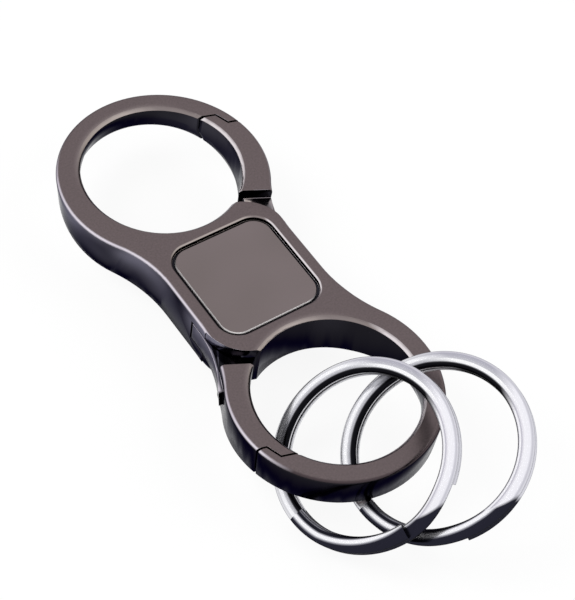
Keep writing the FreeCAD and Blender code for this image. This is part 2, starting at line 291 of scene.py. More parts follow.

# %% [markdown]
# Over the walls comes the edge, with painted highlights. Their white is brightest where an edge faces
# -X and fades round the clip, and a ramp over how far an edge faces -X gives it. The rims' painted
# highlights go by the bearing that a rim faces: white towards -X, warm beige towards -Y and dark
# towards +X. So that is a ramp over a full turn, from -X round by -Y, +X and +Y to -X again.

# %% The painted edge highlights
# The direction that the painted highlights face, and their colours on the outer edge and on the rims.
LIT_DIRECTION = (-0.97, -0.24, 0)
OUTSIDE_HIGHLIGHTS = ((0.0, "#a59da0"), (0.2, "#6a6062"), (0.38, "#5a5153"), (0.62, "#453d40"),
              (0.78, "#857d80"), (0.9, "#c6bec9"), (1.0, "#e2dbe5"))
RIM_HIGHLIGHTS = ((0.0, "#e2dbde"), (0.06, "#ded6d9"), (0.09, "#8a807f"), (0.17, "#857b7b"),
              (0.24, "#b3a8a4"), (0.34, "#a0958f"), (0.42, "#756b6b"), (0.5, "#2c2729"),
              (0.75, "#6a6062"), (0.86, "#ddd5d8"), (1.0, "#e2dbde"))


def edge_highlight_colour(tree, spot, outward, lit_facing, rim):
    """The painted highlights and shade of the edges, from the level direction that a point faces."""
    lit_share = add(tree, "ShaderNodeMapRange", {"From Min": -1.0}, {"Value": lit_facing})
    outer = add(tree, "ShaderNodeValToRGB", links={"Fac": lit_share.outputs["Result"]})
    set_stops(outer, OUTSIDE_HIGHLIGHTS)
    # The rims' painted highlights go by the bearing that they face.
    faced = add(tree, "ShaderNodeSeparateXYZ", links={"Vector": outward})
    bearing = add(tree, "ShaderNodeMath", {"operation": "ARCTAN2"},
                  {0: faced.outputs["Y"], 1: faced.outputs["X"]})
    bearing_share = add(tree, "ShaderNodeMapRange", {"From Min": -math.pi, "From Max": math.pi},
                     {"Value": bearing.outputs["Value"]})
    inner = add(tree, "ShaderNodeValToRGB", links={"Fac": bearing_share.outputs["Result"]})
    set_stops(inner, RIM_HIGHLIGHTS)
    # Round the lower tip the painted highlight gives way to a plain brown edge.
    highlight_reach = add(tree, "ShaderNodeMapRange", {"From Min": -32 * MM, "From Max": -27 * MM},
                  {"Value": spot.outputs["Y"]})
    outside = add(tree, "ShaderNodeMix", {"data_type": "RGBA", "A": colour("#4b4144")},
                  {"Factor": highlight_reach.outputs["Result"], "B": outer.outputs["Color"]})
    # The rims take their own painted highlights, and the rest takes the outer edge's.
    edge_highlights = add(tree, "ShaderNodeMix", {"data_type": "RGBA"},
                 {"Factor": rim, "A": outside.outputs["Result"], "B": inner.outputs["Color"]})
    return edge_highlights.outputs["Result"]


print("edge colours:", len(OUTSIDE_HIGHLIGHTS), "outside and", len(RIM_HIGHLIGHTS), "inside")

# %% [markdown]
# On top is the blasted face, whose grain comes from noise and gives a slight bump as well. Plating
# makes the walls smoother than blasting leaves the face, so the face's mask sets the roughness.

# %% The plated zinc


def plated_zinc():
    """Black nickel over cast zinc: a satin face between dark mirrors, with painted reflections,
    highlights and sheen.
    """
    material, tree, shader, place = start_finish("black_nickel_plated_zinc", 0.3)
    # Black nickel stays dark at a glancing angle, where a clean metal would turn white.
    shader.inputs["Specular Tint"].default_value = colour("#afafb3")
    facing = add(tree, "ShaderNodeSeparateXYZ", links={"Vector": place.outputs["Normal"]})
    spot = add(tree, "ShaderNodeSeparateXYZ", links={"Vector": place.outputs["Object"]})
    face, edge = face_and_edge(tree, facing.outputs["Z"], spot.outputs["Z"])
    rim, rim_sheen = rim_and_sheen(tree, place, spot)
    level = add(tree, "ShaderNodeVectorMath", {"operation": "MULTIPLY", 1: (1, 1, 0)},
                {0: place.outputs["Normal"]})
    outward = add(tree, "ShaderNodeVectorMath", {"operation": "NORMALIZE"},
                  {0: level.outputs["Vector"]})
    lit_facing = add(tree, "ShaderNodeVectorMath", {"operation": "DOT_PRODUCT", 1: LIT_DIRECTION},
                {0: outward.outputs["Vector"]})
    wall = walls_and_reflections(tree, place, spot, lit_facing.outputs["Value"], rim)
    edge_highlights = edge_highlight_colour(tree, spot, outward.outputs["Vector"], lit_facing.outputs["Value"], rim)

    # Blasting leaves grain of about 0.1 mm. It is drawn at 0.3 mm, so that it shows.
    grain = add(tree, "ShaderNodeTexNoise", {"Scale": 3300.0, "Detail": 2.0},
                {"Vector": place.outputs["Object"]})
    satin = add(tree, "ShaderNodeValToRGB", links={"Fac": grain.outputs["Fac"]})
    set_stops(satin, ((0.3, "#665c5d"), (0.7, "#706466")))
    # The painted sheen by the rims is laid over the satin face.
    satin_and_sheen = add(tree, "ShaderNodeMix", {"data_type": "RGBA", "B": colour("#918686")},
                  {"Factor": rim_sheen, "A": satin.outputs["Color"]})

    # The painted edge highlights go over the walls.
    walls_and_highlights = add(tree, "ShaderNodeMix", {"data_type": "RGBA"}, {"Factor": edge, "A": wall, "B": edge_highlights})
    tone = add(tree, "ShaderNodeMix", {"data_type": "RGBA"},
               {"Factor": face, "A": walls_and_highlights.outputs["Result"], "B": satin_and_sheen.outputs["Result"]})
    tree.links.new(tone.outputs["Result"], shader.inputs["Base Color"])
    gloss = add(tree, "ShaderNodeMapRange", {"To Min": 0.16, "To Max": 0.42}, {"Value": face})
    tree.links.new(gloss.outputs["Result"], shader.inputs["Roughness"])
    bump = add(tree, "ShaderNodeBump", {"Strength": 0.1, "Distance": 0.03 * MM},
               {"Height": grain.outputs["Fac"]})
    tree.links.new(bump.outputs["Normal"], shader.inputs["Normal"])
    return material


plated = plated_zinc()
print("plated:", plated.name, "of", len(plated.node_tree.nodes), "nodes")

# %% [markdown]
# ## Breaking the edges
# A die casting has no knife edges: tumbling breaks each one by a tenth of a millimetre or so, and
# that thin line is what catches the light round the gates and in the meshed tips. A bevel could
# be painted as bump, but then the outline would stay sharp. The CAD solids are left as they are.
# A copy of each is merged, its coplanar triangles are joined, and a Bevel modifier breaks the
# edges that are still sharp.

# %% Copies with broken edges
EDGE_BREAK = 0.14 * MM
MERGE_REACH = 0.001 * MM
FLAT_ANGLE = math.radians(0.4)
SHARP_ANGLE = math.radians(38)


def broken_edges(node, name, body):
    """A copy of a CAD node that stands for it, with its sharp edges broken."""
    mesh = nodes[node].data.copy()
    shape = bmesh.new()
    shape.from_mesh(mesh)
    bmesh.ops.remove_doubles(shape, verts=shape.verts, dist=MERGE_REACH)
    bmesh.ops.dissolve_limit(shape, angle_limit=FLAT_ANGLE, verts=shape.verts, edges=shape.edges)
    for face in shape.faces:
        face.smooth = True
    shape.to_mesh(mesh)
    shape.free()
    mesh.materials.clear()
    mesh.materials.append(plated)
    piece = bpy.data.objects.new(name, mesh)
    bpy.context.scene.collection.objects.link(piece)
    bevel = piece.modifiers.new("broken edges", "BEVEL")
    bevel.width = EDGE_BREAK
    bevel.segments = 2
    bevel.limit_method = "ANGLE"
    bevel.angle_limit = SHARP_ANGLE
    bevel.harden_normals = True
    shaped = piece.evaluated_get(bpy.context.evaluated_depsgraph_get())
    finished = bpy.data.meshes.new_from_object(shaped)
    piece.modifiers.clear()
    piece.data = finished
    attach(piece, body)
    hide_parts(node)
    return piece


for node, name, body, slot in (("clip_casting", "plated_casting", "clip", "gunmetal"),
                               ("upper_gate", "upper_plated_gate", "upper_gate_body", "gunmetal_gate"),
                               ("lower_gate", "lower_plated_gate", "lower_gate_body", "gunmetal_gate")):
    piece = broken_edges(node, name, body)
    print(name, len(nodes[node].data.polygons), "CAD triangles,", len(piece.data.polygons), "faces")

# %% [markdown]
# ## The inlaid plate
# The plate is a thin stamped sheet with a smooth satin coat, a little lighter and warmer than the face
# round it. It has almost no grain, only a slow change of tone. Its bevelled edge carries a painted
# highlight where it faces -X and -Y and painted shade where it faces +X and +Y. The CAD shape is right,
# so the node stays and only its material changes.

# %% The plate's coat


def coated_plate():
    """Satin coated sheet, which gives the eye a smooth, warm grey."""
    material, tree, shader, place = start_finish("satin_coated_plate", 0.36, metallic=0.85)
    drift = add(tree, "ShaderNodeTexNoise", {"Scale": 70.0, "Detail": 1.0},
                {"Vector": place.outputs["Object"]})  # about 14 mm across
    coat = add(tree, "ShaderNodeValToRGB", links={"Fac": drift.outputs["Fac"]})
    set_stops(coat, ((0.35, "#736969"), (0.7, "#7a6f70")))
    facing = add(tree, "ShaderNodeSeparateXYZ", links={"Vector": place.outputs["Normal"]})
    flat = add(tree, "ShaderNodeMapRange", {"From Min": 0.85, "From Max": 0.95},
               {"Value": facing.outputs["Z"]})
    # Painted highlight on the bevel where it faces -X and -Y, and painted shade where it faces away.
    lean = add(tree, "ShaderNodeVectorMath", {"operation": "DOT_PRODUCT", 1: (-0.7, -0.7, 0)},
               {0: place.outputs["Normal"]})
    bevel_lit = add(tree, "ShaderNodeMapRange", {"From Min": -0.1, "From Max": 0.45},
                 {"Value": lean.outputs["Value"]})
    bevel = add(tree, "ShaderNodeMix",
                {"data_type": "RGBA", "A": colour("#2e2929"), "B": colour("#efebea")},
                {"Factor": bevel_lit.outputs["Result"]})
    skin = add(tree, "ShaderNodeMix", {"data_type": "RGBA"},
               {"Factor": flat.outputs["Result"], "A": bevel.outputs["Result"],
                "B": coat.outputs["Color"]})
    tree.links.new(skin.outputs["Result"], shader.inputs["Base Color"])
    # The coat's orange peel, 0.2 mm.
    peel = add(tree, "ShaderNodeTexNoise", {"Scale": 5000.0, "Detail": 1.0},
               {"Vector": place.outputs["Object"]})
    bump = add(tree, "ShaderNodeBump", {"Strength": 0.05, "Distance": 0.02 * MM},
               {"Height": peel.outputs["Fac"]})
    tree.links.new(bump.outputs["Normal"], shader.inputs["Normal"])
    return material


nodes["front_plate"].data.materials.clear()
nodes["front_plate"].data.materials.append(coated_plate())
print("plate coated")

# %% [markdown]
# ## Pins and glue
# Inside are small pieces that show only when a gate opens. The pins are drawn steel rod and the
# springs are spring wire, both bright with small changes of tone, about a millimetre across. The
# plate sits on a thin black film of acrylic glue. Their shapes could be made again, but so little
# of them shows that a material is enough.

# %% Inner finishes


def drawn_steel():
    """Drawn steel, which gives the eye a bright, slightly uneven grey."""
    material, tree, shader, place = start_finish("drawn_steel", 0.25)
    marks = add(tree, "ShaderNodeTexNoise", {"Scale": 900.0, "Detail": 2.0},
                {"Vector": place.outputs["Object"]})
    ramp = add(tree, "ShaderNodeValToRGB", links={"Fac": marks.outputs["Fac"]})
    set_stops(ramp, ((0.0, "#8c8c90"), (1.0, "#c2c2c6")))
    tree.links.new(ramp.outputs["Color"], shader.inputs["Base Color"])
    return material


def glue_film():
    """Acrylic glue, which gives the eye a dull black."""
    material, tree, shader, place = start_finish("black_acrylic_glue", 0.5, metallic=0.0)
    mottle = add(tree, "ShaderNodeTexNoise", {"Scale": 500.0}, {"Vector": place.outputs["Object"]})
    ramp = add(tree, "ShaderNodeValToRGB", links={"Fac": mottle.outputs["Fac"]})
    set_stops(ramp, ((0.0, "#0c0c0c"), (1.0, "#1a1a1a")))
    tree.links.new(ramp.outputs["Color"], shader.inputs["Base Color"])
    return material


steel = drawn_steel()
for name, finish in (("upper_gate_pin", steel), ("lower_gate_pin", steel),
                     ("plate_adhesive", glue_film())):
    nodes[name].data.materials.clear()
    nodes[name].data.materials.append(finish)
print("pins and glue finished")

# %% [markdown]
# ## The springs
# Each gate's spring stands between the bottom of its well and the gate's tongue, and it loses a quarter
# of its length as the gate opens. Its coils could be wound again for every angle, but they hardly show,
# so a copy of each spring stands for it as it is, fixed to the clip and not shortened here.


def gate_spring(node, name):
    """A copy of a CAD spring that stands for it, fixed to the clip."""
    mesh = nodes[node].data.copy()
    mesh.materials.clear()
    mesh.materials.append(steel)
    spring = bpy.data.objects.new(name, mesh)
    bpy.context.scene.collection.objects.link(spring)
    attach(spring, "clip")
    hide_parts(node)
    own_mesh(spring)


gate_spring("upper_gate_spring", "upper_coil_spring")
gate_spring("lower_gate_spring", "lower_coil_spring")

# %% [markdown]
# ## Nickel-plated spring steel
# A split ring is flat spring wire, coiled, tumbled and nickel plated. Its crown is as smooth as a
# mirror, so it shows long bands: black and white where it leans one way, lilac where it leans
# another, and a deep blue-grey on the side that lies lowest. A white surrounding would mirror as
# plain white. Dark cards round the ring could give the bands, but then they would slide as the
# ring turned, so they are painted where they lie. Each list below is one part of the way
# round, from the inner side of the wire, at 0, to the outer, at 1. The near list is wider than
# the wire, because its white slides across it. The two walls are read from where they face
# down, at 0, to where they face up, at 1.

# %% The rings' bands
# Painted reflections on the crown, one list for each part of the way round.
LEFT_REFLECTIONS = ((0.0, "#0b0b0f"), (0.28, "#141418"), (0.32, "#545358"), (0.36, "#a9a9b0"),
              (0.5, "#c9c9cf"), (0.56, "#f4f4f8"), (0.72, "#f6f6fa"), (0.78, "#cfcfd4"),
              (0.93, "#e6e6ea"), (1.0, "#7c7c84"))
FAR_REFLECTIONS = ((0.0, "#0e0d12"), (0.24, "#16161a"), (0.29, "#85868a"), (0.33, "#f2f2f5"),
             (0.5, "#fafafc"), (0.54, "#c2c2c9"), (0.72, "#b3b2bd"), (0.84, "#adacb8"),
             (0.88, "#cbc9d3"), (1.0, "#c6c4ce"))
RIGHT_REFLECTIONS = ((0.0, "#85838f"), (0.05, "#d8d7dd"), (0.13, "#f6f5fa"), (0.2, "#f2f1f6"),
               (0.27, "#b5b3bf"), (0.34, "#dedce4"), (0.45, "#f0eff5"), (0.78, "#edecf3"),
               (0.9, "#c3c2cc"), (1.0, "#dddce2"))
NEAR_REFLECTIONS = ((0.2, "#9a9aa4"), (0.26, "#1d1c26"), (0.36, "#1b1b23"), (0.4, "#9a9aa2"),
              (0.44, "#f4f3f8"), (0.54, "#f2f2f6"), (0.6, "#8f8f98"), (0.65, "#24242f"),
              (1.0, "#24242f"))
LIGHT_WALL_REFLECTIONS = ((0.0, "#a4a4b2"), (0.35, "#f0f0f5"), (0.8, "#d6d5de"), (0.9, "#b5b4bf"))
DARK_WALL_REFLECTIONS = ((0.0, "#121319"), (0.3, "#1b1c26"), (0.75, "#24242f"), (0.9, "#24242f"))
# Where one part of the way round fades into the next, in degrees.
NEAR_TO_RIGHT = (-86, -82)
RIGHT_TO_FAR = (-12, 8)
FAR_TO_LEFT = (40, 62)
print("bands across the crown:", len(LEFT_REFLECTIONS), len(FAR_REFLECTIONS), len(RIGHT_REFLECTIONS), len(NEAR_REFLECTIONS))

# %% [markdown]
# The material needs to know where a point is on the wire. That could be worked out again from
# Object coordinates, one set of sums for each leaning ring, but attributes on the mesh are
# simpler and ride with it. "aspect" says how far a point faces outward and up, and where it is
# across the wire. "round" says where it is round the ring, as a cosine and a sine, and on which
# of the two turns. "lie" is 1 on the ring that lies flatter and 0 on the other.

# %% The crown of the wire


def crown_reflections(tree, across_wire, angle, lie):
    """The painted reflections on the wire's top, and how far a point is past the near and the far part.
    """
    # The bands end on a slant across the wire.
    slant = add(tree, "ShaderNodeMath", {"operation": "MULTIPLY_ADD", 1: -0.2},
                {0: across_wire, 2: angle})
    across = add(tree, "ShaderNodeMapRange", {"From Min": -1.0}, {"Value": across_wire})
    # On the near side the painted white band drifts inwards along the ring, less on the flatter ring.
    drift_end = add(tree, "ShaderNodeMapRange", {"To Min": -0.85, "To Max": -0.45}, {"Value": lie})
    drift = add(tree, "ShaderNodeMapRange",
                {"From Min": math.radians(-160), "From Max": math.radians(-100), "To Min": 0.15},
                {"Value": angle, "To Max": drift_end.outputs["Result"]})
    from_white = add(tree, "ShaderNodeMath", {"operation": "SUBTRACT"},
                     {0: across_wire, 1: drift.outputs["Result"]})
    near_across = add(tree, "ShaderNodeMapRange", {"From Min": -1.5, "From Max": 1.5},
                      {"Value": from_white.outputs["Value"]})
    near = add(tree, "ShaderNodeValToRGB", links={"Fac": near_across.outputs["Result"]})
    set_stops(near, NEAR_REFLECTIONS)

    crown = near.outputs["Color"]
    passed = []
    for (first, last), stops in ((NEAR_TO_RIGHT, RIGHT_REFLECTIONS), (RIGHT_TO_FAR, FAR_REFLECTIONS),
                                 (FAR_TO_LEFT, LEFT_REFLECTIONS)):
        bands = add(tree, "ShaderNodeValToRGB", links={"Fac": across.outputs["Result"]})
        set_stops(bands, stops)
        past = add(tree, "ShaderNodeMapRange",
                   {"From Min": math.radians(first), "From Max": math.radians(last)},
                   {"Value": slant.outputs["Value"]})
        mixed = add(tree, "ShaderNodeMix", {"data_type": "RGBA"},
                    {"Factor": past.outputs["Result"], "A": crown, "B": bands.outputs["Color"]})
        crown = mixed.outputs["Result"]
        passed.append(past.outputs["Result"])
    return crown, passed[0], passed[-1]


print("the crown has four parts round the ring")

# %% [markdown]
# The walls of the wire are simpler, and their colours are painted reflections as well. The outer one is
# pale, and deep blue-grey on the near side. The inner one is black down to the middle of the upper turn
# and light below it, which paints a thin bright lip inside the ring.

# %% The rings' nickel


def nickel_plate():
    """Bright nickel, with painted reflections in sharp bands of black, white and lilac."""
    # A little of it is matte, which keeps the painted reflection bands in sight where the ring mirrors
    # the clip.
    material, tree, shader, place = start_finish("nickel_plated_spring_steel", 0.12, metallic=0.85)
    shader.inputs["Specular Tint"].default_value = colour("#62626c")
    aspect = add(tree, "ShaderNodeAttribute", {"attribute_name": "aspect"})
    facing = add(tree, "ShaderNodeSeparateXYZ", links={"Vector": aspect.outputs["Vector"]})
    outward, upward, across_wire = (facing.outputs[axis] for axis in "XYZ")
    around = add(tree, "ShaderNodeAttribute", {"attribute_name": "round"})
    parts = add(tree, "ShaderNodeSeparateXYZ", links={"Vector": around.outputs["Vector"]})
    angle = add(tree, "ShaderNodeMath", {"operation": "ARCTAN2"},
                {0: parts.outputs["Y"], 1: parts.outputs["X"]})
    lie = add(tree, "ShaderNodeAttribute", {"attribute_name": "lie"})
    crown, past_near, past_far = crown_reflections(tree, across_wire, angle.outputs["Value"],
                                              lie.outputs["Fac"])

    up = add(tree, "ShaderNodeMapRange", {"From Min": -1.0}, {"Value": upward})
    pale = add(tree, "ShaderNodeValToRGB", links={"Fac": up.outputs["Result"]})
    set_stops(pale, LIGHT_WALL_REFLECTIONS)
    deep = add(tree, "ShaderNodeValToRGB", links={"Fac": up.outputs["Result"]})
    set_stops(deep, DARK_WALL_REFLECTIONS)
    outside = add(tree, "ShaderNodeMix", {"data_type": "RGBA"},
                  {"Factor": past_near, "A": deep.outputs["Color"], "B": pale.outputs["Color"]})
    # Painted reflection on the inner wall: black, and white on the lip of the lower turn.
    low = add(tree, "ShaderNodeMapRange", {"From Min": 1.4, "From Max": 1.1},
              {"Value": parts.outputs["Z"]})
    lip = add(tree, "ShaderNodeMath", {"operation": "MULTIPLY"},
              {0: low.outputs["Result"], 1: past_far})
    inside = add(tree, "ShaderNodeMix",
                 {"data_type": "RGBA", "A": colour("#0d0d11"), "B": colour("#f6f6fa")},
                 {"Factor": lip.outputs["Value"]})
    outer = add(tree, "ShaderNodeMapRange", {"From Min": -0.1, "From Max": 0.1}, {"Value": outward})
    side = add(tree, "ShaderNodeMix", {"data_type": "RGBA"},
               {"Factor": outer.outputs["Result"], "A": inside.outputs["Result"],
                "B": outside.outputs["Result"]})
    top = add(tree, "ShaderNodeMapRange", {"From Min": 0.45, "From Max": 0.75}, {"Value": upward})
    tone = add(tree, "ShaderNodeMix", {"data_type": "RGBA"},
               {"Factor": top.outputs["Result"], "A": side.outputs["Result"], "B": crown})
    tree.links.new(tone.outputs["Result"], shader.inputs["Base Color"])
    gloss = add(tree, "ShaderNodeMapRange", {"To Min": 0.2, "To Max": 0.5},
                {"Value": lip.outputs["Value"]})
    tree.links.new(gloss.outputs["Result"], shader.inputs["Roughness"])
    # Tumbling marks, about 0.5 mm, under the plating.
    marks = add(tree, "ShaderNodeTexNoise", {"Scale": 2000.0, "Detail": 1.0},
                {"Vector": place.outputs["Object"]})
    bump = add(tree, "ShaderNodeBump", {"Strength": 0.03, "Distance": 0.02 * MM},
               {"Height": marks.outputs["Fac"]})
    tree.links.new(bump.outputs["Normal"], shader.inputs["Normal"])
    return material


nickel = nickel_plate()
print("nickel of", len(nickel.node_tree.nodes), "nodes")

# %% [markdown]
# ## The split rings
# A split ring is one wire that goes round nearly twice, lying on itself, with one short climb from
# the lower turn to the upper. It could be a torus with a groove, but then its ends and its climb
# would be missing. The path has a rule, so Geometry Nodes make it: a line of points is bent into
# the path, and a rounded section is swept along it.

# %% Sizes of a split ring
RING_SIZES = {"Wire radius": 12.95 * MM, "Wire width": 2.4 * MM, "Wire height": 1.08 * MM,
              "Corner": 0.45 * MM, "Crown": 0.7, "Rise": 1.12 * MM, "Climb": math.radians(40)}
PATH_POINTS = 560
CORNER_POINTS = 6
print("wire", RING_SIZES["Wire width"], "by", RING_SIZES["Wire height"], "m")

# %% [markdown]
# The path comes first. The angle runs through two turns less the climb, and the height is half a
# cosine wave over the climb, so the wire leaves one turn and joins the other without a kink.

# %% The wire's path


def wire_path(tree, given):
    """The node that gives the path's curve."""
    line = add(tree, "GeometryNodeCurvePrimitiveLine")
    points = add(tree, "GeometryNodeResampleCurve", {"Count": PATH_POINTS},
                 {"Curve": line.outputs["Curve"]})
    along = add(tree, "GeometryNodeSplineParameter")
    climb = given.outputs["Climb"]
    sweep = add(tree, "ShaderNodeMath", {"operation": "SUBTRACT", 0: 4 * math.pi}, {1: climb})
    angle = add(tree, "ShaderNodeMath", {"operation": "MULTIPLY"},
                {0: along.outputs["Factor"], 1: sweep.outputs["Value"]})
    begin = add(tree, "ShaderNodeMath", {"operation": "SUBTRACT", 0: 2 * math.pi}, {1: climb})
    share = add(tree, "ShaderNodeMapRange", {"From Max": 2 * math.pi, "To Max": math.pi},
                {"Value": angle.outputs["Value"], "From Min": begin.outputs["Value"]})
    wave = add(tree, "ShaderNodeMath", {"operation": "COSINE"}, {0: share.outputs["Result"]})
    half = add(tree, "ShaderNodeMath", {"operation": "MULTIPLY", 1: -0.5},
               {0: given.outputs["Rise"]})
    height = add(tree, "ShaderNodeMath", {"operation": "MULTIPLY"},
                 {0: wave.outputs["Value"], 1: half.outputs["Value"]})
    cosine = add(tree, "ShaderNodeMath", {"operation": "COSINE"}, {0: angle.outputs["Value"]})
    sine = add(tree, "ShaderNodeMath", {"operation": "SINE"}, {0: angle.outputs["Value"]})
    turn = add(tree, "ShaderNodeCombineXYZ",
               links={"X": cosine.outputs["Value"], "Y": sine.outputs["Value"]})
    wide = add(tree, "ShaderNodeVectorMath", {"operation": "SCALE"},
               {0: turn.outputs["Vector"], "Scale": given.outputs["Wire radius"]})
    lift = add(tree, "ShaderNodeCombineXYZ", links={"Z": height.outputs["Value"]})
    spot = add(tree, "ShaderNodeVectorMath", {"operation": "ADD"},
               {0: wide.outputs["Vector"], 1: lift.outputs["Vector"]})
    path = add(tree, "GeometryNodeSetPosition",
               links={"Geometry": points.outputs["Curve"], "Position": spot.outputs["Vector"]})
    return add(tree, "GeometryNodeSetCurveNormal", {"mode": "Z_UP"},
               {"Curve": path.outputs["Geometry"]})


print("path of", PATH_POINTS, "points")

# %% [markdown]
# The section is a rectangle with filleted corners. Its height shrinks towards both sides by the
# square of the distance from the middle, which crowns the top as rolled wire is crowned.

# %% The wire's section


def wire_section(tree, given):
    """The node that gives the section's curve."""
    section = add(tree, "GeometryNodeCurvePrimitiveQuadrilateral",
                  links={"Width": given.outputs["Wire width"],
                         "Height": given.outputs["Wire height"]})
    rounded = add(tree, "GeometryNodeFilletCurve",
                  {"mode": "POLY", "Count": CORNER_POINTS, "Limit Radius": True},
                  {"Curve": section.outputs["Curve"], "Radius": given.outputs["Corner"]})
    spot = add(tree, "GeometryNodeInputPosition")
    parts = add(tree, "ShaderNodeSeparateXYZ", links={"Vector": spot.outputs["Position"]})
    share = add(tree, "ShaderNodeMath", {"operation": "DIVIDE"},
                {0: parts.outputs["X"], 1: given.outputs["Wire width"]})
    square = add(tree, "ShaderNodeMath", {"operation": "MULTIPLY"},
                 {0: share.outputs["Value"], 1: share.outputs["Value"]})
    fall = add(tree, "ShaderNodeMath", {"operation": "MULTIPLY"},
               {0: square.outputs["Value"], 1: given.outputs["Crown"]})
    keep = add(tree, "ShaderNodeMath", {"operation": "SUBTRACT", 0: 1.0},
               {1: fall.outputs["Value"]})
    height = add(tree, "ShaderNodeMath", {"operation": "MULTIPLY"},
                 {0: parts.outputs["Y"], 1: keep.outputs["Value"]})
    place = add(tree, "ShaderNodeCombineXYZ",
                links={"X": parts.outputs["X"], "Y": height.outputs["Value"]})
    return add(tree, "GeometryNodeSetPosition",
               links={"Geometry": rounded.outputs["Curve"], "Position": place.outputs["Vector"]})


print("section with", CORNER_POINTS, "points to a corner")

# %% [markdown]
# The tree has a named input for each size and one for the finish. It sweeps the section along the
# path, closes both ends, and sets the material last.

# %% A tree for a split ring


def split_ring_tree():
    """The Geometry Nodes tree that makes one split ring, flat at the origin."""
    tree = bpy.data.node_groups.new("split_ring", "GeometryNodeTree")
    face = tree.interface
    face.new_socket("Geometry", in_out="INPUT", socket_type="NodeSocketGeometry")
    for name, value in RING_SIZES.items():
        socket = face.new_socket(name, in_out="INPUT", socket_type="NodeSocketFloat")
        socket.default_value = value
    face.new_socket("Finish", in_out="INPUT", socket_type="NodeSocketMaterial")
    face.new_socket("Geometry", in_out="OUTPUT", socket_type="NodeSocketGeometry")
    given = add(tree, "NodeGroupInput")
    path = wire_path(tree, given)
    section = wire_section(tree, given)
    sweep = add(tree, "GeometryNodeCurveToMesh", {"Fill Caps": True},
                {"Curve": path.outputs["Curve"], "Profile Curve": section.outputs["Geometry"]})
    smooth = add(tree, "GeometryNodeSetShadeSmooth", links={"Geometry": sweep.outputs["Mesh"]})
    real = add(tree, "GeometryNodeRealizeInstances",
               links={"Geometry": smooth.outputs["Geometry"]})
    finish = add(tree, "GeometryNodeSetMaterial",
                 links={"Geometry": real.outputs["Geometry"], "Material": given.outputs["Finish"]})
    add(tree, "NodeGroupOutput", links={"Geometry": finish.outputs["Geometry"]})
    return tree


ring_tree = split_ring_tree()
print("ring tree nodes:", len(ring_tree.nodes))

# %% [markdown]
# ## Placing the rings
# Each ring leans as it hangs: the second rests on the loop and the first rests on the second. A
# ring is made flat at the origin, turned about its own axis so that its climb is where it
# should be, and then leant and moved. An object's own location could hold the place, but a
# pattern would slide when it is exported, so all of it goes into the mesh. The attributes that
# the nickel reads are written by turning each point back to the flat ring.

# %% Mark the rings' places


def mark_places(mesh, stand, lies_flatter):
    """Writes the nickel's attributes. The matrix stands a flat ring in its place."""
    mesh.attributes.new("aspect", "FLOAT_VECTOR", "POINT")
    mesh.attributes.new("round", "FLOAT_VECTOR", "POINT")
    mesh.attributes.new("lie", "FLOAT", "POINT")
    # A new layer can move those before it, so they are looked up when all three are there.
    aspect = mesh.attributes["aspect"]
    around = mesh.attributes["round"]
    lie = mesh.attributes["lie"]
    to_flat = stand.inverted()
    turn_back = to_flat.to_3x3()
    for i, vertex in enumerate(mesh.vertices):
        spot = to_flat @ vertex.co
        normal = turn_back @ vertex.normal
        level = math.hypot(spot.x, spot.y)
        cosine = spot.x / level
        sine = spot.y / level
        across = (level - RING_SIZES["Wire radius"]) / (RING_SIZES["Wire width"] / 2)
        aspect.data[i].vector = (normal.x * cosine + normal.y * sine, normal.z, across)
        around.data[i].vector = (cosine, sine, spot.z / (RING_SIZES["Rise"] / 2))
        lie.data[i].value = lies_flatter


print("each point of a ring gets its facing, its place across and its place round")

# %% [markdown]
# The tree is evaluated once for each ring, with the nickel given to its socket, and the mesh is
# kept on its own. A leaning ring is a flat one turned from upright to its axis and moved to its
# centre.

# %% Make both rings


def split_ring(name, centre, axis, start, lies_flatter):
    """A finished split ring, with its place in its mesh."""
    holder = bpy.data.objects.new(name + "_source", bpy.data.meshes.new(name + "_source"))
    bpy.context.scene.collection.objects.link(holder)
    modifier = holder.modifiers.new("split_ring", "NODES")
    modifier.node_group = ring_tree
    sockets = {item.name: item.identifier for item in ring_tree.interface.items_tree
               if item.in_out == "INPUT"}
    modifier[sockets["Finish"]] = nickel
    bpy.context.view_layer.update()
    shape = holder.evaluated_get(bpy.context.evaluated_depsgraph_get())
    mesh = bpy.data.meshes.new_from_object(shape)
    holder.modifiers.clear()
    bpy.data.objects.remove(holder)
    lean = Vector((0, 0, 1)).rotation_difference(Vector(axis)).to_matrix().to_4x4()
    stand = Matrix.Translation(Vector(centre) * MM) @ lean
    mesh.transform(stand @ Matrix.Rotation(math.radians(start), 4, "Z"))
    mark_places(mesh, stand, lies_flatter)
    ring = bpy.data.objects.new(name, mesh)
    bpy.context.scene.collection.objects.link(ring)
    return ring


# Each ring's body, centre in mm, axis, angle in degrees at which its wire starts, and lie.
RINGS = {
    "first_split_ring": ("first_ring", (-1.77, -33.6, 4.77), (-0.582, 0.030, 0.813), 300, 0.0),
    "second_split_ring": ("second_ring", (6.88, -38.69, 6.63), (-0.497, 0.032, 0.867), 250, 1.0),
}
for node, (body, centre, axis, start, lies_flatter) in RINGS.items():
    ring = split_ring(node.replace("_split", "_wire"), centre, axis, start, lies_flatter)
    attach(ring, body)
    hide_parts(node)
    low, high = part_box(node)
    reach = [vertex.co.x for vertex in ring.data.vertices]
    print(node, "CAD x", round(low.x, 5), round(high.x, 5),
          "made x", round(min(reach), 5), round(max(reach), 5), "faces", len(ring.data.polygons))

# %% [markdown]
# ## The floor
# The object lies on white paper. A brighter lamp could turn the paper white, but it would bleach
# the object too. So to the camera and to reflections the paper shines with its own light, and a
# tenth of it stays matte, which carries the object's shadow.

# %% Floor
FLOOR_HALF = 1.0  # m
FLOOR_GAP = 0.1 * MM
GLOW_SHARE = 0.9


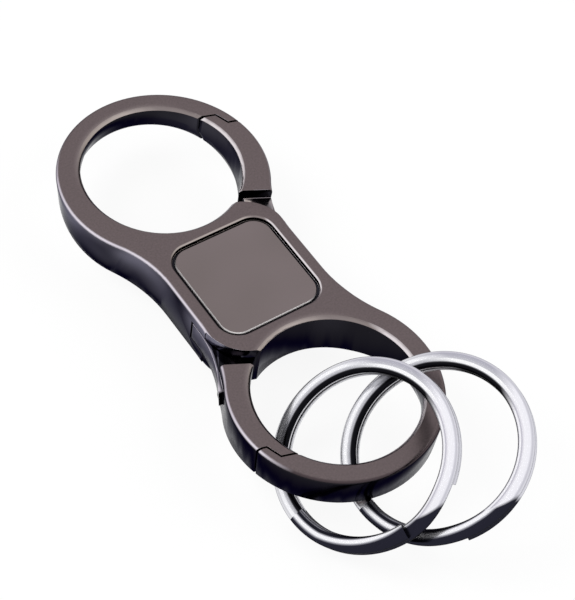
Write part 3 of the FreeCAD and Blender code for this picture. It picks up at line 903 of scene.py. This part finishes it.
def looks(tree):
    """A socket that is 1 for camera, glossy and transmission rays, and 0 for all others."""
    rays = add(tree, "ShaderNodeLightPath")
    seen = add(tree, "ShaderNodeMath", {"operation": "MAXIMUM"},
               {0: rays.outputs["Is Camera Ray"], 1: rays.outputs["Is Glossy Ray"]})
    clear = add(tree, "ShaderNodeMath", {"operation": "MAXIMUM"},
                {0: seen.outputs["Value"], 1: rays.outputs["Is Transmission Ray"]})
    return clear.outputs["Value"]


floor_z = cad_box[0].z - FLOOR_GAP
corners = [(x * FLOOR_HALF, y * FLOOR_HALF, floor_z) for x, y in ((-1, -1), (1, -1), (1, 1), (-1, 1))]
floor_mesh = bpy.data.meshes.new("floor")
floor_mesh.from_pydata(corners, [], [(0, 1, 2, 3)])
floor = bpy.data.objects.new("floor", floor_mesh)
bpy.context.scene.collection.objects.link(floor)
paper = bpy.data.materials.new("white_paper")
paper.use_nodes = True
paper_tree = paper.node_tree
paper_tree.nodes.clear()
matte = add(paper_tree, "ShaderNodeBsdfPrincipled", {"Base Color": colour("#f4f4f4"), "Roughness": 0.9})
glow = add(paper_tree, "ShaderNodeEmission", {"Strength": 1.0})
share = add(paper_tree, "ShaderNodeMath", {"operation": "MULTIPLY", 1: GLOW_SHARE},
            {0: looks(paper_tree)})
sheet = add(paper_tree, "ShaderNodeMixShader",
            links={"Fac": share.outputs["Value"], 1: matte.outputs["BSDF"],
                   2: glow.outputs["Emission"]})
add(paper_tree, "ShaderNodeOutputMaterial", links={"Surface": sheet.outputs["Shader"]})
floor_mesh.materials.append(paper)
print("floor at", round(floor_z / MM, 2), "mm")

# %% [markdown]
# ## The light
# The world is white to the camera and to reflections in the same way, and dimmer for the light it
# gives, so that colours come out as they are written. Two large, soft lamps shape the object. They
# don't show in reflections, where they would be hard squares on the polished rings.

# %% World and lamps
WORLD_LIGHT = 0.6
LAMPS = (("key", (-0.25, 0.15, 0.35), 0.25, 1.2), ("fill", (0.3, -0.2, 0.3), 0.3, 0.8))

world = bpy.data.worlds.new("studio")
bpy.context.scene.world = world
world.use_nodes = True
sky = world.node_tree
sky.nodes.clear()
strength = add(sky, "ShaderNodeMapRange", {"To Min": WORLD_LIGHT}, {"Value": looks(sky)})
sky_light = add(sky, "ShaderNodeBackground", {"Color": (1, 1, 1, 1)},
                {"Strength": strength.outputs["Result"]})
add(sky, "ShaderNodeOutputWorld", links={"Surface": sky_light.outputs["Background"]})

for name, spot, size, power in LAMPS:
    lamp = bpy.data.lights.new(name, "AREA")
    lamp.size = size
    lamp.energy = power
    light = bpy.data.objects.new(name, lamp)
    light.location = spot
    light.visible_glossy = False
    light.rotation_euler = (-Vector(spot)).to_track_quat("-Z", "Y").to_euler()
    bpy.context.scene.collection.objects.link(light)
bpy.context.scene.view_settings.view_transform = "Standard"
print("lamps:", [name for name, *_ in LAMPS])

# %% [markdown]
# ## The camera
# The camera looks down at the clip from its lower left, 52 degrees above the floor, through a
# long lens. It is rolled by about 10 degrees, which lays the clip across the frame. Its place
# could be typed in, but it is easier to change as turns: the camera is moved back from the
# point it aims at, rolled, tipped from straight down, and turned to its side of the clip.

# %% Camera
AIM = (4.589, -4.944, 3.803)  # mm
DISTANCE = 277.5  # mm
SIDE = -132.426  # degrees round the clip, from +X
ABOVE = 52.345  # degrees above the floor
ROLL = 10.145  # degrees
SENSOR = 36.0  # mm
FOCAL_LENGTH = 110.97  # mm

lens = bpy.data.cameras.new("camera")
lens.sensor_width = SENSOR
lens.sensor_fit = "VERTICAL"
lens.sensor_height = SENSOR
lens.lens = FOCAL_LENGTH
lens.clip_start = 0.01
camera = bpy.data.objects.new("camera", lens)
turned = Matrix.Rotation(math.radians(SIDE + 90), 4, "Z")
tipped = Matrix.Rotation(math.radians(90 - ABOVE), 4, "X")
rolled = Matrix.Rotation(math.radians(ROLL), 4, "Z")
camera.matrix_world = (Matrix.Translation(Vector(AIM) * MM) @ turned @ tipped @ rolled
                       @ Matrix.Translation((0, 0, DISTANCE * MM)))
bpy.context.scene.collection.objects.link(camera)
bpy.context.scene.camera = camera
print("camera", [round(c, 4) for c in camera.location])
